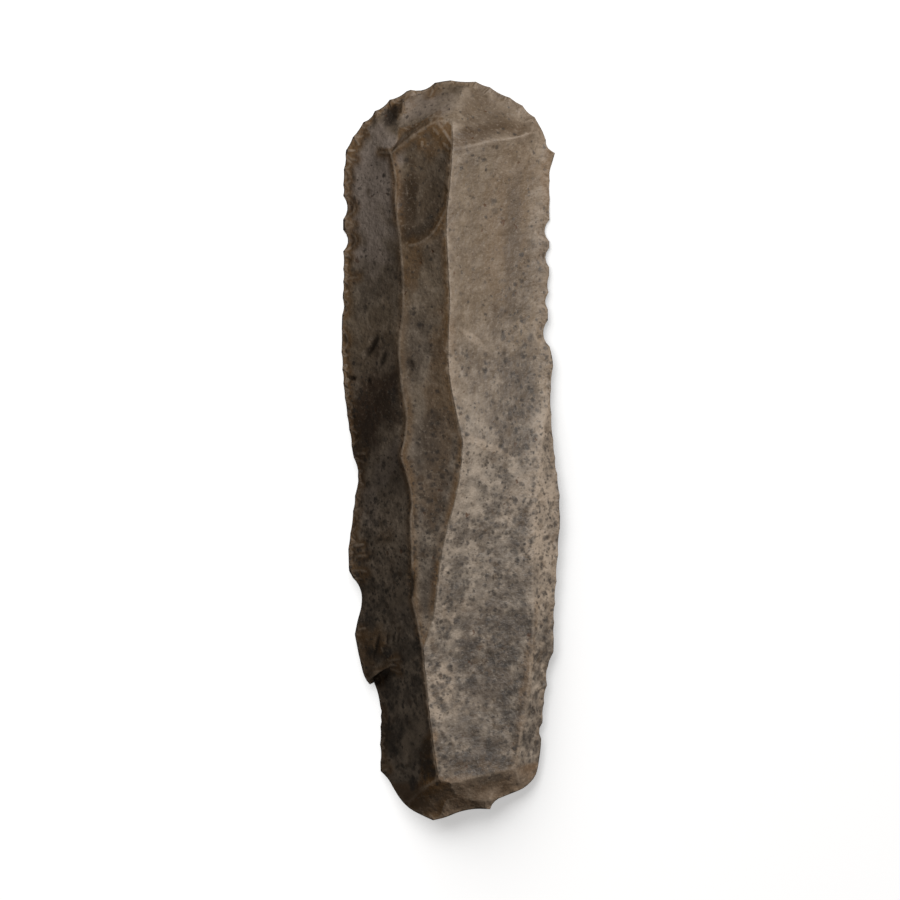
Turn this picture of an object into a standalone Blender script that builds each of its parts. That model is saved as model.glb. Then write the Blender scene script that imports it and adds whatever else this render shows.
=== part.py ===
"""A flint blade end scraper, lying on its struck underside with its ridged back up.

The stone is one solid, laid out the way a knapped tool is drawn: first the outline, then the
ridges where two flake scars meet, then the scars between them. Each scar is a sheet stretched
between its ridges and hollowed to its own radius, as the flake that left it was rounded.
Small retouch scars are cut round the working edge and down both sides, and below are the
long, slightly arched underside, the bulb of percussion and the striking platform.

Metres, +Z up. The blade lies along Y with its rounded scraper end towards +Y, and the origin
is on the table, at the middle of the blade's box.
"""

import math
import random

import bpy
import numpy as np
from mathutils.geometry import delaunay_2d_cdt

# Driving dimensions
BLADE_LENGTH = 0.105
BLADE_WIDTH = 0.031
BLADE_THICKNESS = 0.0112

# Underside, which arches clear of the table between the bulb and the scraper end
UNDERSIDE_ARCH = 0.0012
UNDERSIDE_BOW = 0.0005
BUTT_LIFT = 0.0013
BULB_AT = (-3.0, 13.0)
BULB_HEIGHT = 0.0015
BULB_LENGTH = 0.0100
BULB_WIDTH = 0.0085
BULB_SCAR_AT = (15.0, 17.0)
BULB_SCAR_LENGTH = 0.0068
BULB_SCAR_WIDTH = 0.0048
BULB_SCAR_DEPTH = 0.00028
RESTING_FLAT = 0.00012

# Striking platform, the small steep face that the hammer hit
PLATFORM_THICKNESS = 0.0034
PLATFORM_WIDTH = 0.0220
PLATFORM_MIDDLE = 0.0012
PLATFORM_LEAN = math.radians(15)

# How deep a retouch scar is hollowed, as a share of how far it reaches in from the edge, and
# the least share of the stone's thickness that it leaves
RETOUCH_HOLLOW = 0.13
LEAST_LEFT = 0.5

# Fineness of the mesh
OUTLINE_STEP = 0.00066
RIDGE_STEP = 0.00085
BACK_STEP = 0.00120
UNDERSIDE_STEP = 0.0019

# How hollow a scar is where no other radius is given
BLADE_SCAR_RADIUS = 0.032

# Working in millimetres: when a point is on a line, when a ridge's end joins another ridge, how
# near the outline a ridge's own points may come, and the least edge left between two scars
MM = 1000.0
ON_LINE = 2e-4
JOIN_WITHIN = 1.1
KEEP_CLEAR = 0.35
SMALLEST_GAP = 0.4

# The outline, clockwise from the left shoulder, in percent of the blade's width (across, from
# its middle line) and of its length (along, from the butt). Two runs meet at a sharp corner.
FRONT = [(-48.0, 90.5), (-45.2, 92.1), (-40.6, 94.1), (-34.4, 95.9), (-27.0, 97.5), (-18.2, 98.7),
         (-5.8, 99.7), (2.5, 100.0), (12.5, 99.7), (22.5, 98.3), (31.7, 96.8), (38.1, 95.1),
         (42.7, 93.2), (44.3, 91.2), (47.8, 90.1)]
RIGHT_SIDE = [(47.8, 90.1), (45.9, 88.1), (45.4, 83.8), (45.2, 78.4), (45.0, 72.9), (44.5, 67.8),
              (44.9, 64.6), (46.8, 61.8), (45.9, 57.8), (46.6, 52.6), (48.2, 47.9), (49.8, 44.3),
              (50.0, 40.5), (48.9, 34.4), (47.5, 27.6), (47.0, 22.6)]
RIGHT_HEEL = [(47.0, 22.6), (44.9, 21.3), (44.4, 18.8), (42.6, 15.4), (41.6, 11.4), (40.6, 8.3),
              (38.4, 5.7), (33.5, 4.3), (27.0, 3.5), (21.8, 2.9)]
BUTT_NOTCH = [(21.8, 2.9), (19.2, 2.3), (18.0, 1.5)]
BUTT_RIGHT = [(18.0, 1.5), (11.1, 1.55), (3.3, 1.1), (-2.5, 0.4), (-8.1, 0.0)]
BUTT_LEFT = [(-8.1, 0.0), (-13.4, 0.7), (-18.6, 1.5), (-25.1, 3.7), (-29.0, 5.6), (-32.1, 6.5)]
LEFT_HEEL = [(-32.1, 6.5), (-32.4, 10.7), (-32.3, 15.3), (-33.5, 17.2), (-35.1, 18.5)]
TAB = [(-35.1, 18.5), (-37.0, 18.2), (-38.8, 18.9), (-41.5, 21.5), (-43.9, 25.0)]
SIDE_NOTCH = [(-43.9, 25.0), (-42.6, 26.9), (-40.9, 28.8), (-41.1, 30.9), (-43.6, 32.3), (-46.3, 33.0)]
LEFT_SIDE = [(-46.3, 33.0), (-47.0, 35.7), (-45.4, 39.8), (-43.8, 43.8), (-42.4, 46.3), (-44.4, 48.9),
             (-46.8, 53.3), (-49.1, 58.7), (-50.0, 62.8), (-49.8, 67.5), (-49.3, 72.3), (-49.3, 77.0),
             (-49.3, 83.8), (-49.1, 87.6), (-48.0, 90.5)]
OUTLINE = [FRONT, RIGHT_SIDE, RIGHT_HEEL, BUTT_NOTCH, BUTT_RIGHT, BUTT_LEFT, LEFT_HEEL, TAB,
           SIDE_NOTCH, LEFT_SIDE]

# Bites that show singly in the edge: where (percent), then width, depth and reach in metres
BITES = [
    ((-12.0, 98.9), 0.0036, 0.00060, 0.0016),
    ((45.3, 79.4), 0.0031, 0.00070, 0.0014),
    ((45.1, 76.0), 0.0028, 0.00055, 0.0012),
    ((45.0, 72.6), 0.0024, 0.00022, 0.0010),
    ((44.7, 69.8), 0.0024, 0.00042, 0.0011),
    ((44.8, 65.8), 0.0038, 0.00070, 0.0013),
    ((41.4, 11.9), 0.0023, 0.00040, 0.0010),
    ((-49.3, 82.4), 0.0031, 0.00062, 0.0011),
    ((-49.3, 78.5), 0.0031, 0.00070, 0.0012),
    ((-49.5, 69.0), 0.0024, 0.00024, 0.0009),
]

# Runs of even retouch: from, to (percent, clockwise), width, depth and reach in metres, seed
RETOUCH_RUNS = [
    ((-48.0, 90.5), (-14.5, 99.1), 0.0024, 0.00022, 0.0013, 3),
    ((-7.0, 99.6), (47.8, 90.1), 0.0026, 0.00026, 0.0016, 8),
    ((46.2, 88.6), (45.4, 81.6), 0.0026, 0.00006, 0.0011, 5),
    ((46.7, 61.0), (50.0, 41.0), 0.0030, 0.00010, 0.0009, 12),
    ((49.8, 39.5), (47.3, 24.5), 0.0034, 0.00012, 0.0010, 6),
    ((44.6, 20.4), (42.2, 13.4), 0.0026, 0.00018, 0.0010, 9),
    ((-32.2, 7.5), (-32.3, 15.5), 0.0019, 0.00010, 0.0007, 2),
    ((-46.6, 34.0), (-44.6, 49.0), 0.0025, 0.00013, 0.0009, 7),
    ((-45.2, 50.5), (-49.9, 66.6), 0.0023, 0.00010, 0.0009, 4),
    ((-49.6, 71.0), (-49.3, 76.6), 0.0020, 0.00012, 0.0009, 11),
    ((-49.3, 84.6), (-48.3, 89.9), 0.0020, 0.00012, 0.0010, 14),
]

# Junctions of the ridges on the back: across, along and height, in percent of the width, the
# length and the thickness
FRONT_PEAK = (1.0, 94.2, 64)
FRONT_SADDLE = (0.6, 90.3, 80)
LEFT_SHOULDER = (-27.3, 89.9, 43)
KEEL_CORNER = (5.6, 51.3, 100)
KEEL_FORK = (-12.7, 23.1, 92)
BUTT_PEAK = (-5.8, 5.7, 77)
BUTT_CORNER = (-0.3, 5.2, 74)
HEEL_CORNER = (29.2, 7.0, 45)
STEP_HEAD = (-27.6, 20.9, 47)

# The ridges, each a smooth line through its points. One that ends near the outline runs into it.
RIDGES = {
    "front_crest": [FRONT_PEAK, (2.4, 96.0, 47), (5.2, 98.3, 29), (6.4, 99.9, 0)],
    "front_left": [FRONT_PEAK, (-6.7, 94.0, 63), (-14.5, 92.8, 58), (-21.4, 91.3, 50), LEFT_SHOULDER],
    "front_left_foot": [FRONT_PEAK, (-4.9, 94.8, 59), (-9.5, 94.6, 53), (-14.1, 94.0, 47),
                        (-18.6, 93.1, 42), (-22.3, 92.2, 39), (-25.5, 91.0, 38.5), LEFT_SHOULDER],
    "front_neck": [FRONT_PEAK, FRONT_SADDLE],
    "front_right": [FRONT_SADDLE, (8.8, 90.7, 69), (18.0, 91.5, 55), (28.0, 91.9, 39), (36.6, 92.7, 25),
                    (43.0, 93.0, 0)],
    "front_left_inner": [(-22.4, 98.1, 0), (-21.9, 95.8, 27), (-23.7, 93.6, 34.5), (-26.0, 91.0, 38.5)],
    "front_left_rim": [(-36.8, 95.2, 0), (-32.5, 93.6, 18), (-29.0, 91.9, 30), (-26.0, 91.0, 38.5)],
    "left_ridge": [LEFT_SHOULDER, (-25.2, 86.5, 47), (-25.1, 83.1, 51), (-23.2, 78.4, 58),
                   (-21.9, 73.6, 63), (-21.6, 68.9, 66), (-23.5, 63.5, 68), (-21.9, 58.3, 71),
                   (-20.0, 54.7, 75), (-20.9, 51.3, 77), (-22.5, 49.1, 77), (-19.6, 46.4, 81),
                   (-17.7, 43.2, 84), (-18.2, 39.8, 85), (-17.5, 35.1, 86), (-17.5, 29.9, 87),
                   (-15.0, 26.7, 89), KEEL_FORK],
    "right_ridge": [FRONT_SADDLE, (-0.1, 86.5, 84), (-1.7, 81.7, 87), (-1.3, 75.6, 90), (-0.3, 70.2, 92),
                    (-1.0, 64.8, 94), (-0.6, 60.1, 95), (1.9, 56.0, 97), KEEL_CORNER],
    "right_keel": [KEEL_CORNER, (4.7, 47.2, 100), (2.4, 43.4, 99), (-1.3, 39.5, 98), (-4.5, 35.1, 97),
                   (-6.5, 30.0, 95), (-9.0, 25.8, 93), KEEL_FORK],
    "stem": [KEEL_FORK, (-11.5, 19.5, 91), (-9.9, 14.8, 88), (-8.1, 10.4, 84), BUTT_PEAK],
    "butt_left": [BUTT_PEAK, (-12.2, 4.5, 63), (-18.0, 2.8, 38), (-20.4, 1.9, 0)],
    "butt_brow": [BUTT_PEAK, BUTT_CORNER],
    "butt_right": [BUTT_CORNER, (7.9, 5.8, 69), (18.0, 6.4, 59), HEEL_CORNER],
    "butt_divide": [BUTT_CORNER, (0.9, 4.1, 63), (-3.1, 1.7, 46), (-4.6, 0.2, 0)],
    "butt_bench": [(0.9, 4.1, 63), (5.6, 3.2, 53.5), (12.3, 2.75, 48.5), (17.5, 2.75, 43.5), (21.2, 2.8, 0)],
    "margin": [(46.0, 57.4, 0), (43.1, 54.0, 25), (40.9, 48.6, 35), (39.0, 43.2, 40), (37.7, 37.8, 43),
               (37.4, 32.3, 44), (37.9, 26.9, 43), (36.7, 21.5, 44), (34.9, 16.1, 45), (32.2, 11.8, 46),
               HEEL_CORNER],
    "heel": [HEEL_CORNER, (30.9, 5.7, 35), (32.3, 4.1, 0)],
    "right_step": [KEEL_CORNER, (12.5, 50.6, 86), (18.9, 49.8, 73), (25.8, 50.5, 59)],
    "strip_step": [(-22.9, 77.4, 59), (-17.7, 77.4, 67), (-12.2, 78.0, 75.5), (-7.7, 79.2, 81),
                   (-1.6, 82.2, 86.8)],
    "strip_head": [(-14.5, 92.8, 58), (-9.8, 91.0, 60), (-4.6, 90.5, 68), FRONT_SADDLE],
    "strip_crease": [(-12.6, 91.9, 58), (-14.0, 88.0, 55.5), (-17.3, 86.2, 53), (-20.0, 84.0, 52),
                     (-25.0, 81.6, 53)],
    "left_flute": [(-22.5, 49.1, 77), (-26.4, 47.9, 63), (-29.6, 46.1, 50), (-30.2, 44.1, 49),
                   (-27.5, 41.9, 58), (-18.1, 39.3, 85.1)],
    "left_shelf": [(-18.1, 39.3, 85.1), (-24.1, 39.0, 70), (-29.6, 38.4, 56), (-34.7, 37.7, 42),
                   (-39.4, 37.2, 29)],
    "tab_crest": [STEP_HEAD, (-31.9, 23.5, 42), (-34.2, 26.9, 37), (-41.0, 30.2, 0)],
    "step_brow": [STEP_HEAD, (-31.0, 20.1, 38), (-34.7, 19.5, 29), (-38.7, 18.8, 0)],
    "step_foot": [STEP_HEAD, (-28.9, 19.6, 30), (-32.0, 18.7, 19), (-35.1, 18.5, 0)],
}

# Scars hollowed more than the long blade scars: a place on each (percent), and its radius
HOLLOW_SCARS = {
    "front_left_scar": ((-10.0, 96.6), 0.018),
    "front_left_corner": ((-33.0, 93.4), 0.030),
    "front_right_scar": ((20.0, 95.0), 0.018),
    "strip_scoop": ((-8.0, 85.5), 0.008),
    "strip_scoop_left": ((-21.0, 88.0), 0.010),
    "strip_head_facet": ((-6.0, 92.2), 0.020),
    "front_left_hollow": ((-28.0, 94.3), 0.009),
    "left_flute_scar": ((-24.0, 44.0), 0.010),
    "tab_scar": ((-37.5, 22.5), 0.016),
    "butt_left_scar": ((-11.0, 2.4), 0.018),
    "butt_right_scar": ((12.0, 4.4), 0.014),
    "butt_bench_scar": ((6.0, 2.2), 0.014),
}


def place(across, along):
    """A point of the plan, in millimetres, from percent of the blade's width and length."""
    return np.array([across / 100 * BLADE_WIDTH * MM, along / 100 * BLADE_LENGTH * MM])


def smooth_line(points, step):
    """Points about a step apart on the smooth curve through the given points."""
    points = np.array(points, float)
    chord = np.linalg.norm(np.diff(points, axis=0), axis=1)
    slope = np.diff(points, axis=0) / chord[:, None]
    tangent = np.vstack([slope[:1], slope[-1:]])
    if len(points) > 2:
        before, after = chord[:-1, None], chord[1:, None]
        middle = (slope[:-1] * after + slope[1:] * before) / (before + after)
        tangent = np.vstack([slope[:1], middle, slope[-1:]])
    line = [points[:1]]
    for i, length in enumerate(chord):
        count = max(1, math.ceil(length / step))
        t = (np.arange(count) + 1)[:, None] / count
        line.append(
            (2 * t**3 - 3 * t**2 + 1) * points[i]
            + (t**3 - 2 * t**2 + t) * length * tangent[i]
            + (3 * t**2 - 2 * t**3) * points[i + 1]
            + (t**3 - t**2) * length * tangent[i + 1]
        )
    return np.vstack(line)


class Edge:
    """The blade's plain outline as a closed line, read by the distance along it."""

    def __init__(self, runs, step):
        lines = [smooth_line([place(*p) for p in run], step)[:-1] for run in runs]
        self.points = np.vstack([*lines, lines[0][:1]])
        self.lengths = np.concatenate(
            [[0], np.cumsum(np.linalg.norm(np.diff(self.points, axis=0), axis=1))]
        )
        self.corners = [self.lengths[n] for n in np.cumsum([0] + [len(x) for x in lines])[:-1]]
        self.total = self.lengths[-1]

    def at(self, distance):
        """The point at that distance, going round as often as needed."""
        distance = np.mod(distance, self.total)
        return np.array([np.interp(distance, self.lengths, self.points[:, k]) for k in (0, 1)]).T

    def inward(self, distance, reach=0.5):
        """The unit normal there that points into the stone, smoothed over a short reach."""
        along = self.at(distance + reach) - self.at(distance - reach)
        normal = np.stack([along[..., 1], -along[..., 0]], axis=-1)
        return normal / np.linalg.norm(normal, axis=-1, keepdims=True)

    def nearest(self, across, along):
        """The distance along the outline of its point nearest to a place in percent."""
        return self.lengths[np.argmin(np.linalg.norm(self.points - place(across, along), axis=1))]


def retouch_scars(edge):
    """Every retouch scar as (start, end, depth, reach) in millimetres, in order round the edge."""
    scars = []
    for spot, width, depth, reach in BITES:
        middle = edge.nearest(*spot)
        scars.append((middle - width * MM / 2, middle + width * MM / 2, depth * MM, reach * MM))
    named = list(scars)
    for first, last, width, depth, reach, seed in RETOUCH_RUNS:
        chance = random.Random(seed)
        start, stop = edge.nearest(*first), edge.nearest(*last)
        span = (stop - start) % edge.total
        count = max(1, round(span / (width * MM)))
        shares = np.cumsum([0.0] + [chance.uniform(0.7, 1.3) for _ in range(count)])
        cuts = start + span * shares / shares[-1]
        for a, b in zip(cuts[:-1], cuts[1:]):
            clear = all(b <= low or a >= high for low, high, _, _ in named)
            size = (depth * chance.uniform(0.5, 1.6) * MM, reach * chance.uniform(0.7, 1.4) * MM)
            if clear:
                scars.append((a, b, *size))
    scars.sort()
    for n in range(len(scars) - 1):
        start, end, *size = scars[n]
        if abs(scars[n + 1][0] - end) < SMALLEST_GAP:
            scars[n] = (start, scars[n + 1][0], *size)
    return scars


def cut_outline(edge, scars, step):
    """The outline with every retouch scar bitten out of it, then each scar's inner limit and
    the points that carry its hollow."""
    cuts = sorted(
        {round(x % edge.total, 6) for x in edge.corners}
        | {round(x % edge.total, 6) for scar in scars for x in scar[:2]}
    )
    distances = []
    for a, b in zip(cuts, cuts[1:] + [cuts[0] + edge.total]):
        count = max(1, round((b - a) / step))
        distances += [a + (b - a) * i / count for i in range(count)]
    distances = np.array(distances)
    offset = np.zeros(len(distances))
    limits, middles = [], []
    for start, end, depth, reach in scars:
        share = ((distances - start) % edge.total) / (end - start)
        inside_scar = share <= 1
        offset[inside_scar] += depth * 4 * (share * (1 - share))[inside_scar]
        count = max(4, round(1.2 * max(end - start, reach) / step))
        t = np.linspace(0, 1, count + 1)
        bite, climb = depth * 4 * t * (1 - t), reach * np.sin(math.pi * t)
        where = start + t * (end - start)
        limits.append(edge.at(where) + edge.inward(where) * (bite + climb)[:, None])
        t = (np.arange(max(1, count - 2)) + 0.5) / max(1, count - 2)
        bite, climb = depth * 4 * t * (1 - t), reach * np.sin(math.pi * t)
        where = start + t * (end - start)
        middles.append(edge.at(where) + edge.inward(where) * (bite + climb / 2)[:, None])
    loop = edge.at(distances) + edge.inward(distances) * offset[:, None]
    return loop, limits, np.vstack(middles)


def underside_height(points):
    """Height of the struck underside over the table, in millimetres, at points of the plan."""
    across = points[:, 0] / (BLADE_WIDTH * MM)
    along = points[:, 1] / (BLADE_LENGTH * MM)
    lift = BUTT_LIFT * np.clip(1 - along / 0.62, 0, 1) ** 1.4
    arch = UNDERSIDE_ARCH * np.sin(math.pi * np.clip(along / 0.9, 0, 1)) ** 1.3
    bow = UNDERSIDE_BOW * (2 * across) ** 2 * np.clip((0.92 - along) / 0.4, 0, 1)
    x, y = ((points - place(*BULB_AT)) / (BULB_WIDTH * MM, BULB_LENGTH * MM)).T
    bulb = BULB_HEIGHT * np.exp(-(x**2) - y**2)
    half_size = (BULB_SCAR_WIDTH / 2 * MM, BULB_SCAR_LENGTH / 2 * MM)
    x, y = ((points - place(*BULB_SCAR_AT)) / half_size).T
    chip = BULB_SCAR_DEPTH * np.sqrt(np.clip(1 - x**2 - y**2, 0, 1))
    return (np.maximum(lift + arch + bow - bulb - RESTING_FLAT, 0) + chip) * MM


def platform_height(points):
    """How thick the stone is at the butt's edge, in millimetres, where the platform is."""
    across = points[:, 0] / MM - PLATFORM_MIDDLE
    share = np.clip(1 - (across / (PLATFORM_WIDTH / 2)) ** 2, 0, 1)
    share *= np.clip((0.08 - points[:, 1] / (BLADE_LENGTH * MM)) / 0.02, 0, 1)
    share[share < 0.03] = 0
    return share * PLATFORM_THICKNESS * MM


def inside(points, loop):
    """Which points lie inside a closed loop of the plan."""
    found = np.zeros(len(points), bool)
    for (ax, ay), (bx, by) in zip(loop, np.roll(loop, -1, axis=0)):
        if ay != by:
            crosses = (ay > points[:, 1]) != (by > points[:, 1])
            found ^= crosses & (points[:, 0] < (bx - ax) * (points[:, 1] - ay) / (by - ay) + ax)
    return found


def nearest_on_lines(points, lines):
    """For each point, how far the nearest line is, and the height of that line there."""
    near = np.full(len(points), np.inf)
    height = np.zeros(len(points))
    for line in lines:
        for a, b in zip(line[:-1], line[1:]):
            run = b[:2] - a[:2]
            t = np.clip((points - a[:2]) @ run / max(run @ run, 1e-12), 0, 1)
            away = np.linalg.norm(points - a[:2] - t[:, None] * run, axis=1)
            closer = away < near
            near[closer] = away[closer]
            height[closer] = (a[-1] + t * (b[-1] - a[-1]))[closer]
    return near, height


def closed(loop):
    return np.vstack([loop, loop[:1]])


def ridge_lines(loop, rim):
    """Every ridge as a line of (x, y, height) in millimetres. An end of height 0 goes to the
    nearest point of the outline, and any other end to a ridge that is already there."""
    lines = []
    for points in RIDGES.values():
        shaped = [(*place(*p[:2]), p[2] / 100 * BLADE_THICKNESS * MM) for p in points]
        for end in (0, -1):
            spot = np.array(shaped[end])
            if spot[2] == 0:
                nearest = np.argmin(np.linalg.norm(loop - spot[:2], axis=1))
                shaped[end] = (*loop[nearest], rim[nearest])
            elif lines:
                laid = np.vstack(lines)
                away = np.linalg.norm(laid[:, :2] - spot[:2], axis=1)
                if away.min() < JOIN_WITHIN:
                    shaped[end] = tuple(laid[np.argmin(away)])
        line = smooth_line(shaped, RIDGE_STEP * MM)
        away, _ = nearest_on_lines(line[:, :2], [closed(loop)])
        clear = (away > KEEP_CLEAR) & inside(line[:, :2], loop)
        clear[[0, -1]] = True
        lines.append(line[clear])
    return lines


def filling_points(loop, lines, step, seed):
    """A slightly uneven honeycomb of points that keeps clear of the outline and the lines."""
    chance = np.random.default_rng(seed)
    low, high = loop.min(axis=0), loop.max(axis=0)
    grid = np.array([
        (x, y)
        for row, y in enumerate(np.arange(low[1], high[1], step * math.sqrt(3) / 2))
        for x in np.arange(low[0] + (row % 2) * step / 2, high[0], step)
    ])
    grid += chance.uniform(-0.16, 0.16, grid.shape) * step
    grid = grid[inside(grid, loop)]
    away, _ = nearest_on_lines(grid, [closed(loop), *lines])
    return grid[away > 0.55 * step]


def triangulate(loop, lines, filling):
    """Vertices and triangles that fill the loop, with every line running along their sides.
    With them comes each vertex's place in the loop, or -1 if it isn't on it."""
    points = [*loop]
    sides = [(i, (i + 1) % len(loop)) for i in range(len(loop))]
    for line in lines:
        numbers = []
        for point in line[:, :2]:
            away = np.linalg.norm(loop - point, axis=1)
            if away.min() < ON_LINE:
                numbers.append(int(np.argmin(away)))
            else:
                numbers.append(len(points))
                points.append(point)
        sides += zip(numbers[:-1], numbers[1:])
    points += [*filling]
    flat = [tuple(map(float, p)) for p in points]
    made = delaunay_2d_cdt(flat, sides, [list(range(len(loop)))], 1, 1e-5)
    vertices, faces = np.array([tuple(v) for v in made[0]]), np.array(made[2])
    on_loop = np.array([min(given, default=len(loop)) for given in made[3]])
    on_loop[on_loop >= len(loop)] = -1
    used = np.unique(faces)
    faces = np.searchsorted(used, faces)
    vertices, on_loop = vertices[used], on_loop[used]
    a, b, c = (vertices[faces[:, k]] for k in range(3))
    turned = np.cross(b - a, c - a) < 0
    faces[turned] = faces[turned][:, ::-1]
    return vertices, faces, on_loop


def scar_labels(vertices, faces, lines):
    """A number for each face, the same for all the faces of one scar."""
    sides = {}
    for n, face in enumerate(faces):
        for k in range(3):
            side = tuple(sorted((face[k], face[(k + 1) % 3])))
            sides.setdefault(side, []).append(n)
    middles = np.array([vertices[list(side)].mean(axis=0) for side in sides])
    on_ridge = nearest_on_lines(middles, lines)[0] < ON_LINE
    neighbours = [[] for _ in faces]
    for pair, ridge in zip(sides.values(), on_ridge):
        if len(pair) == 2 and not ridge:
            neighbours[pair[0]].append(pair[1])
            neighbours[pair[1]].append(pair[0])
    labels = np.full(len(faces), -1)
    for first in range(len(faces)):
        if labels[first] < 0:
            labels[first] = first
            waiting = [first]
            while waiting:
                for n in neighbours[waiting.pop()]:
                    if labels[n] < 0:
                        labels[n] = first
                        waiting.append(n)
    return labels


def stretched_sheet(vertices, faces, hollow, fixed, heights):
    """Heights of a sheet held at the fixed vertices, curved by hollow (1 / radius) per face."""
    count = len(vertices)
    pull, load = np.zeros((count, count)), np.zeros(count)
    a, b, c = (vertices[faces[:, k]] for k in range(3))
    area = np.abs(np.cross(b - a, c - a)) / 2
    for k in range(3):
        tip, i, j = faces[:, k], faces[:, (k + 1) % 3], faces[:, (k + 2) % 3]
        u, v = vertices[i] - vertices[tip], vertices[j] - vertices[tip]
        weight = np.clip((u * v).sum(axis=1) / np.maximum(4 * area, 1e-9), 0.02, 8.0)
        np.add.at(pull, (i, j), weight)
        np.add.at(pull, (j, i), weight)
        np.add.at(load, tip, hollow * area / 3)
    matrix = np.diag(pull.sum(axis=1)) - pull
    free = ~fixed
    known = -load[free] - matrix[np.ix_(free, fixed)] @ heights[fixed]
    result = heights.copy()
    result[free] = np.linalg.solve(matrix[np.ix_(free, free)], known)
    return result


def retouch_depth(vertices, loop, limits, scars):
    """How far each vertex sinks into the small retouch scar that holds it."""
    depth = np.zeros(len(vertices))
    from_edge, _ = nearest_on_lines(vertices, [closed(loop)])
    for limit, (_, _, _, reach) in zip(limits, scars):
        held = inside(vertices, limit) & (from_edge > ON_LINE)
        from_limit, _ = nearest_on_lines(vertices[held], [limit])
        both = from_limit + from_edge[held]
        bowl = 4 * from_limit * from_edge[held] / np.maximum(both, 1e-9) ** 2
        depth[held] = np.maximum(depth[held], RETOUCH_HOLLOW * reach * bowl)
    return depth


def back_surface(loop, rim, scars, limits, middles):
    """Vertices (x, y, height) and triangles of the ridged back, and their places in the loop."""
    lines = ridge_lines(loop, rim)
    edge_filling = middles[nearest_on_lines(middles, lines)[0] > KEEP_CLEAR]
    filling = np.vstack([
        edge_filling,
        filling_points(loop, [*lines, *limits], BACK_STEP * MM, seed=21),
    ])
    vertices, faces, on_loop = triangulate(loop, [*lines, *limits], filling)
    labels = scar_labels(vertices, faces, lines)
    hollow = np.full(len(faces), 1 / (BLADE_SCAR_RADIUS * MM))
    centres = vertices[faces].mean(axis=1)
    for spot, radius in HOLLOW_SCARS.values():
        nearest = np.argmin(np.linalg.norm(centres - place(*spot), axis=1))
        hollow[labels == labels[nearest]] = 1 / (radius * MM)
    off_ridge, heights = nearest_on_lines(vertices, lines)
    on_edge = on_loop >= 0
    heights[on_edge] = rim[on_loop[on_edge]]
    fixed = on_edge | (off_ridge < ON_LINE)
    heights = stretched_sheet(vertices, faces, hollow, fixed, heights)
    floor = underside_height(vertices)
    carved = heights - retouch_depth(vertices, loop, limits, scars)
    heights = np.maximum(carved, floor + LEAST_LEFT * (heights - floor))
    return np.column_stack([vertices, heights]), faces, on_loop


def blade():
    """The whole stone, as vertices in metres and triangles."""
    edge = Edge(OUTLINE, OUTLINE_STEP * MM)
    scars = retouch_scars(edge)
    loop, limits, middles = cut_outline(edge, scars, OUTLINE_STEP * MM)
    thickness = platform_height(loop)
    rim = underside_height(loop) + thickness
    back, back_faces, back_on_loop = back_surface(loop, rim, scars, limits, middles)

    # The platform leans in under its upper rim, so the underside starts from its foot
    inwards = (np.roll(loop, -1, axis=0) - np.roll(loop, 1, axis=0))[:, ::-1] * (1, -1)
    inwards /= np.linalg.norm(inwards, axis=1, keepdims=True)
    foot = loop + inwards * (thickness * math.tan(PLATFORM_LEAN))[:, None]
    filling = filling_points(foot, [], UNDERSIDE_STEP * MM, seed=5)
    under, under_faces, under_on_loop = triangulate(foot, [], filling)
    under = np.column_stack([under, underside_height(under)])

    # Rim, foot, back and underside follow each other in one list. Away from the platform the
    # foot is the rim itself
    count = len(loop)
    vertices = np.vstack([
        np.column_stack([loop, rim]), np.column_stack([foot, underside_height(foot)]), back, under
    ])
    rim_at = np.arange(count)
    foot_at = np.where(thickness > 0, rim_at + count, rim_at)
    back_at = np.arange(len(back)) + 2 * count
    back_at[back_on_loop >= 0] = rim_at[back_on_loop[back_on_loop >= 0]]
    under_at = np.arange(len(under)) + 2 * count + len(back)
    under_at[under_on_loop >= 0] = foot_at[under_on_loop[under_on_loop >= 0]]
    after = np.roll(rim_at, -1)
    wall = np.vstack([
        np.column_stack([rim_at, after, foot_at[after]]),
        np.column_stack([rim_at, foot_at[after], foot_at]),
    ])
    wall = wall[[len(set(face)) == 3 for face in wall]]
    faces = np.vstack([back_at[back_faces], under_at[under_faces][:, ::-1], wall])

    # A corner of the outline cut off alike above and below would have no thickness
    _, same, times = np.unique(np.sort(faces, axis=1), axis=0, return_inverse=True, return_counts=True)
    faces = faces[times[same.ravel()] == 1]
    used = np.unique(faces)
    vertices, faces = vertices[used], np.searchsorted(used, faces)
    box_middle = (vertices.min(axis=0) + vertices.max(axis=0)) / 2
    vertices -= (box_middle[0], box_middle[1], vertices[:, 2].min())
    return vertices / MM, faces


def add_stone(name, vertices, faces, colour, roughness):
    """One closed mesh object of knapped stone, with its own material."""
    mesh = bpy.data.meshes.new(name)
    mesh.from_pydata(vertices.tolist(), [], faces.tolist())
    material = bpy.data.materials.new(name)
    material.use_nodes = True
    shader = material.node_tree.nodes["Principled BSDF"]
    shader.inputs["Base Color"].default_value = colour
    shader.inputs["Roughness"].default_value = roughness
    mesh.materials.append(material)
    stone = bpy.data.objects.new(name, mesh)
    bpy.context.scene.collection.objects.link(stone)


for old in list(bpy.data.objects):
    bpy.data.objects.remove(old)

add_stone("flint_blade", *blade(), colour=(0.30, 0.28, 0.25, 1), roughness=0.45)
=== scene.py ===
# %% [markdown]
# # A flint blade scraper
#
# A flint knapper struck this long blade off a block of flint, then trimmed one end into a
# steep, rounded scraper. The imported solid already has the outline, the ridges and the flake
# scars. This script gives it the surface of real flint: faint ripples, chipped edges, small
# pits, a stained and speckled stone, and the light of a plain studio.

import math

import bmesh
import bpy
import numpy as np
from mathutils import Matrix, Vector
from mathutils.kdtree import KDTree


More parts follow.
